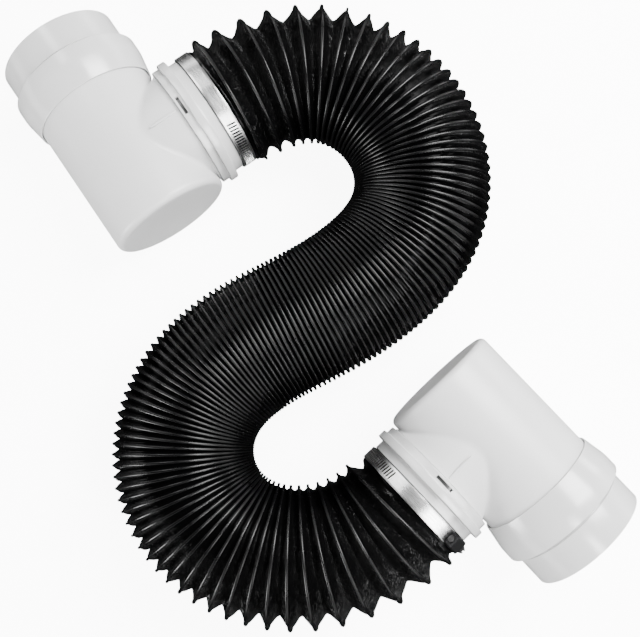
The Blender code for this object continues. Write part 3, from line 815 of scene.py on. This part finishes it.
class VENT_OT_collars(bpy.types.Operator):
    """Make the wall collars and the swivelling hose collars"""
    bl_idname = "vent.collars"
    bl_label = "Collars"

    def execute(self, context):
        sizes = context.scene.vent_fittings
        mat = plastic_material("white_collar", shaded(sizes.colour, 0.92), roughness=0.17, gloss=1.0)
        for tag in ELBOWS:
            points, uv, deep = self.pipe_collar(sizes)
            obj = surface("pipe_collar_" + tag, [(placed(points, tag), uv)], mat,
                          "elbow_%s_turning" % tag, "white_plastic", deep=deep)
            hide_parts("wall_collar_" + tag)
            points, uv, deep = self.neck_collar(sizes)
            obj = surface("neck_collar_" + tag, [(placed(points, tag), uv)], mat, "hose", "white_plastic",
                          deep=deep)
            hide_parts("hose_collar_" + tag)
        return {"FINISHED"}

    def pipe_collar(self, sizes):
        """Profile carried round the open end: ring, groove darkened with painted shade and some dirt, step
        to the flare, cone to the skirt.
        """
        f = sizes.fillet
        wide, sunk = 3.7 * f, 0.7 * f
        bore = BODY_R + GAP
        profile = rounded([(PIPE_END, PIPE_R - WALL, 0.6 * f), (PIPE_END, PIPE_R, f),
                           (FLARE_END + wide, PIPE_R, 0.3 * f),
                           (FLARE_END + wide - 0.4 * f, PIPE_R - sunk, 0.2 * f),
                           (FLARE_END, PIPE_R - sunk, 0.2 * f), (FLARE_END, PIPE_R, 0.0),
                           (FLARE_END, FLARE_R, 1.3 * f), (FLARE_START, FLARE_R, 4 * f),
                           (SKIRT_END, SKIRT_R, 0.8 * f), (SKIRT_END, bore + 0.0010, 0.3 * f),
                           (SKIRT_END + 0.0026, bore, 0.3 * f), (BODY_LONG + GAP, bore, 0.3 * f),
                           (BODY_LONG + GAP, PIPE_R - WALL, 0.3 * f)])
        profile = np.vstack([profile, profile[:1]])
        angles = np.linspace(0.0, 2 * math.pi, sizes.segments + 1)
        along, radius = profile.T
        # The groove's points get painted shade, with some dirt, in the plastic's colour.
        grooved = ((radius > PIPE_R - 1.2 * sunk) & (radius < PIPE_R - 0.5 * sunk)
                   & (along < FLARE_END + wide) & (along > FLARE_END - 0.1 * f))
        deep = GROOVE_SHADE_AND_DIRT * grooved[:, None] + 0.0 * angles
        return turned(profile, angles, "Y"), swept(profile, angles, UV_PER_RADIAN), deep

    def neck_collar(self, sizes):
        """Profile of the ring, lip and neck carried round the port, pushed in where the lock slots are,
        whose bottoms get painted shade.
        """
        f = sizes.fillet
        middle, bore = (RING_START + TIER_END) / 2, SPIGOT_R + GAP
        cuts = slot_cuts(middle, LOCK_HALF_WIDE, TIER_R)
        profile = rounded([(SLEEVE_END, NECK_BORE_R, 0.4 * f), (SLEEVE_END, SLEEVE_R, 0.7 * f),
                           (NECK_END, SLEEVE_R, 0.3 * f), (NECK_END, NECK_R, 0.7 * f), (LIP_END, NECK_R, f),
                           (LIP_END, LIP_R, 0.9 * f), (TIER_END, LIP_R, f), (TIER_END, TIER_R, 0.4 * f)]
                          + cuts + [(RING_START, TIER_R, 0.7 * f), (RING_START, bore, 0.3 * f),
                                    (SPIGOT_END + GAP, bore, 0.3 * f),
                                    (SPIGOT_END + GAP, NECK_BORE_R, 0.3 * f)])
        profile = np.vstack([profile, profile[:1]])
        reach, blur = LOCK_HALF_LONG / TIER_R, STEP_SOFT / TIER_R
        marks = np.array([side * math.pi / 2 + k * reach + j * blur
                          for side in (1, 3) for k in (-1, 1) for j in (-1, 1)])
        angles = np.unique(np.r_[np.linspace(0.0, 2 * math.pi, sizes.segments + 1), marks])
        near = np.minimum(np.abs(angles - math.pi / 2), np.abs(angles - 1.5 * math.pi))
        inside = (near < reach) * 1.0
        along, radius = profile.T
        on_tier = (np.abs(along - middle) < LOCK_HALF_WIDE) & (np.abs(radius - TIER_R) < TIER_WITHIN)
        points = turned(profile, angles, "X")
        # The lock slots' mask both pushes the points in and paints shade on the slots' bottoms.
        deep = on_tier[:, None] * inside
        points[..., 1:] *= (1.0 - LOCK_DEEP / TIER_R * deep)[..., None]
        return points, swept(profile, angles, UV_PER_RADIAN), deep


class VENT_OT_clamps(bpy.types.Operator):
    """Make the slotted clamp bands, and finish the screw housings and screws"""
    bl_idname = "vent.clamps"
    bl_label = "Clamps"

    def execute(self, context):
        sizes = context.scene.vent_clamps
        bright = steel_material("bright_steel", sizes.steel_colour, roughness=0.27)
        dark = steel_material("dark_steel", sizes.dark_colour, roughness=0.34, vector="Object")
        dull = shaded(sizes.steel_colour, 0.09)
        screw = steel_material("screw_steel", dull, roughness=0.40, vector="Object")
        for tag, start in SLOTS_START.items():
            points, uv, sunk = self.band(sizes, start)
            obj = surface("slotted_band_" + tag, [(placed(points, tag), uv)], bright, "hose", "clamp_steel",
                          sunk=sunk)
            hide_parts("clamp_band_" + tag)
            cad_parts["clamp_housing_" + tag].material_slots[0].material = dark
            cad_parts["clamp_screw_" + tag].material_slots[0].material = screw
        return {"FINISHED"}

    def band(self, sizes, start):
        """A flat ring with curled edges, sunk where an angle is near the middle of a slot."""
        end, outer = BAND_START + BAND_WIDE, BAND_R + sizes.thick
        middle, half = BAND_START + BAND_WIDE / 2, sizes.slot_long / 2
        cuts = slot_cuts(middle, half, outer)
        profile = rounded([(end, BAND_R, 0.0001), (end, outer, BAND_CURL)] + cuts
                          + [(BAND_START, outer, BAND_CURL), (BAND_START, BAND_R, 0.0001)], 4)
        profile = np.vstack([profile, profile[:1]])
        first, last = math.radians(start), math.radians(SLOTS_END)
        step = sizes.slot_pitch / outer
        count = int((last - first) / step)
        wide, blur = sizes.slot_wide / outer / 2, STEP_SOFT / outer
        slots = first + step * (np.arange(count) + 0.5)
        marks = (slots[:, None] + np.array([-wide - blur, -wide + blur, wide - blur, wide + blur])).ravel()
        plain = np.r_[np.linspace(0.0, first, 60), np.linspace(first + step * count, 2 * math.pi, 12)]
        angles = np.unique(np.r_[plain, marks])
        away = np.abs(angles[:, None] - slots).min(axis=1)
        on_top = (np.abs(profile[:, 0] - middle) < half) & (profile[:, 1] > outer - BAND_WITHIN)
        sunk = on_top[:, None] * (away < wide) * 1.0
        sheared = angles + (profile[:, :1] - middle) * math.tan(sizes.slant) / outer
        radius = profile[:, 1:2] - sizes.slot_deep * sunk
        points = np.stack(np.broadcast_arrays(profile[:, :1], radius * np.cos(sheared),
                                              radius * np.sin(sheared)), -1)
        return points, swept(profile, angles, outer), sunk


class VENT_OT_stage(bpy.types.Operator):
    """Set the camera, the plain floor and the soft lights"""
    bl_idname = "vent.stage"
    bl_label = "Stage"

    def execute(self, context):
        sizes = context.scene.vent_stage
        self.camera(context, sizes)
        self.floor(context, sizes)
        self.room(context, sizes)
        for name, (place, wide, tall, power, share) in SOFT_BOXES.items():
            self.light(context, name, place, wide, tall, share * getattr(sizes, power))
        return {"FINISHED"}

    def room(self, context, sizes):
        """A dark room with a pale band low round it, where a way out rises little above level."""
        world = bpy.data.worlds.new("soft_room")
        world.use_nodes = True
        tree, room = world.node_tree, world.node_tree.nodes["Background"].inputs
        way = node(tree, "ShaderNodeTexCoord").outputs["Generated"]
        height = node(tree, "ShaderNodeSeparateXYZ", {0: way}).outputs["Z"]
        middle, half, faded = ROOM_BAND
        away = math_node(tree, "ABSOLUTE", math_node(tree, "SUBTRACT", height, middle))
        dark = spread(tree, away, half, faded)
        tree.links.new(tint(tree, dark, (1.0, 1.0, 1.0), (0.01, 0.01, 0.01)), room["Color"])
        room["Strength"].default_value = sizes.room_glow
        context.scene.world = world

    def camera(self, context, sizes):
        """A camera that looks at the middle of the hose, its sideways edge level with the floor."""
        data = bpy.data.cameras.new("camera")
        data.lens = sizes.lens
        data.sensor_width = 36.0
        camera = bpy.data.objects.new("camera", data)
        context.scene.collection.objects.link(camera)
        back = Vector(TO_CAMERA).normalized()
        right = Vector((0.0, 1.0, 0.0)).cross(back).normalized()
        turn = Matrix((right, back.cross(right), back)).transposed().to_4x4()
        aim = Vector((*SHIFT, AXIS_Z))
        camera.matrix_world = Matrix.Translation(aim + back * sizes.distance) @ turn
        context.scene.camera = camera

    def floor(self, context, sizes):
        """A plain pale floor that glows brighter to the camera than it lights the hose."""
        mat, tree, shader, coords = material("pale_floor")
        shader["Roughness"].default_value = 0.85
        seen = node(tree, "ShaderNodeLightPath").outputs["Is Camera Ray"]
        tree.links.new(tint(tree, seen, (sizes.floor_cast,) * 3, (1.0, 1.0, 1.0)), shader["Emission Color"])
        shader["Emission Strength"].default_value = sizes.floor_glow
        detail = grain(tree, coords["Object"], size=220.0, cloud=1.5, scuff=5.0)
        colour = tuple(sizes.floor_colour)
        tree.links.new(tint(tree, detail["Cloud"], colour, shaded(colour, 0.99)), shader["Base Color"])
        mesh = bpy.data.meshes.new("floor")
        mesh.from_pydata([(-9, -9, 0), (9, -9, 0), (9, 9, 0), (-9, 9, 0)], [], [(0, 1, 2, 3)])
        mesh.materials.append(mat)
        floor = bpy.data.objects.new("floor", mesh)
        context.scene.collection.objects.link(floor)
        floor.visible_glossy = False

    def light(self, context, name, place, wide, tall, power):
        """A soft box of that width and height, aimed at the middle of the hose."""
        data = bpy.data.lights.new(name, "AREA")
        data.shape = "RECTANGLE"
        data.size = wide
        data.size_y = tall
        data.energy = power
        lamp = bpy.data.objects.new(name, data)
        context.scene.collection.objects.link(lamp)
        lamp.location = place
        aim = Vector((0.0, 0.0, AXIS_Z)) - Vector(place)
        lamp.rotation_euler = aim.to_track_quat("-Z", "Y").to_euler()


class VENT_PT_panel(bpy.types.Panel):
    """The vent hose's pieces, one button each"""
    bl_idname = "VENT_PT_panel"
    bl_label = "Dryer vent hose"
    bl_space_type = "VIEW_3D"
    bl_region_type = "UI"
    bl_category = "Vent hose"

    def draw(self, context):
        for group, makers in (("vent_stage", ("vent.stage",)), ("vent_hose", ("vent.hose",)),
                              ("vent_fittings", ("vent.elbows", "vent.collars")),
                              ("vent_clamps", ("vent.clamps",))):
            box = self.layout.box()
            for key in getattr(context.scene, group).__annotations__:
                box.prop(getattr(context.scene, group), key)
            for maker in makers:
                box.operator(maker)


GROUPS = {"vent_hose": HoseSizes, "vent_fittings": FittingSizes, "vent_clamps": ClampSizes,
          "vent_stage": StageSizes}
CLASSES = (*GROUPS.values(), VENT_OT_stage, VENT_OT_hose, VENT_OT_elbows, VENT_OT_collars, VENT_OT_clamps,
           VENT_PT_panel)


def register():
    for cls in CLASSES:
        bpy.utils.register_class(cls)
    for name, group in GROUPS.items():
        setattr(bpy.types.Scene, name, PointerProperty(type=group))


def unregister():
    for name in GROUPS:
        delattr(bpy.types.Scene, name)
    for cls in reversed(CLASSES):
        bpy.utils.unregister_class(cls)


def main():
    register()
    bpy.ops.vent.stage()
    bpy.ops.vent.hose()
    bpy.ops.vent.elbows()
    bpy.ops.vent.collars()
    bpy.ops.vent.clamps()


if __name__ == "__main__":
    main()
